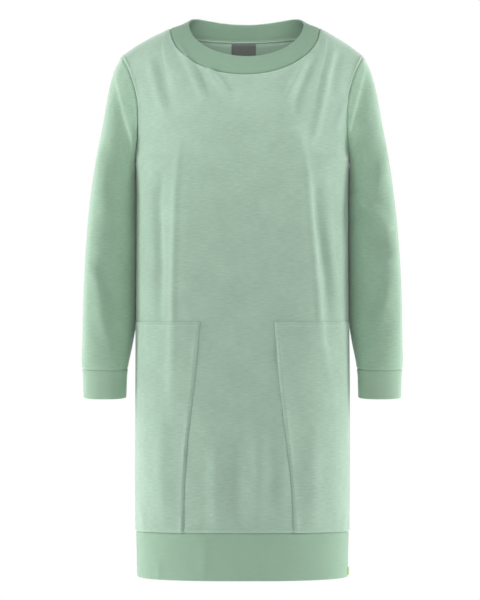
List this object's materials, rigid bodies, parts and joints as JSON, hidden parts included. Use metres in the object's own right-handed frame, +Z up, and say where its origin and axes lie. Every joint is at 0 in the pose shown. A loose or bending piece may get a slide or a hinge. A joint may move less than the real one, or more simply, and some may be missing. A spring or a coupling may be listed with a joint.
{
  "type": "sweatshirt dress",
  "caption": "Long-sleeved knee-length sweatshirt dress in its worn, hollow form, with wide round neckband, cuffs, deep hem band and slanted patch pockets.",
  "frame": {"origin": "midway between the two high points of the neck, where the wearer's shoulders carry the dress", "axes": "+Z up along the dress's length, -Y is the front, +X is the wearer's left"},
  "size_m": [0.529, 0.2362, 0.9212],
  "materials": {
    "jersey": "matt sage green sweat jersey with fine horizontal slubs",
    "band": "matt sage green jersey band, folded double, smoother than the body",
    "label": "dark grey woven label, bare",
    "tab": "lime green woven tab, bare"
  },
  "bodies": {
    "root": {"front": "jersey", "back": "jersey", "sleeve_left": "jersey", "sleeve_right": "jersey", "pocket_left": "jersey", "pocket_right": "jersey", "cuff_left": "band", "cuff_right": "band", "neckband": "band", "hem_band_front": "band", "hem_band_back": "band", "neck_label": "label", "hem_tab": "tab"}
  },
  "joints": []
}
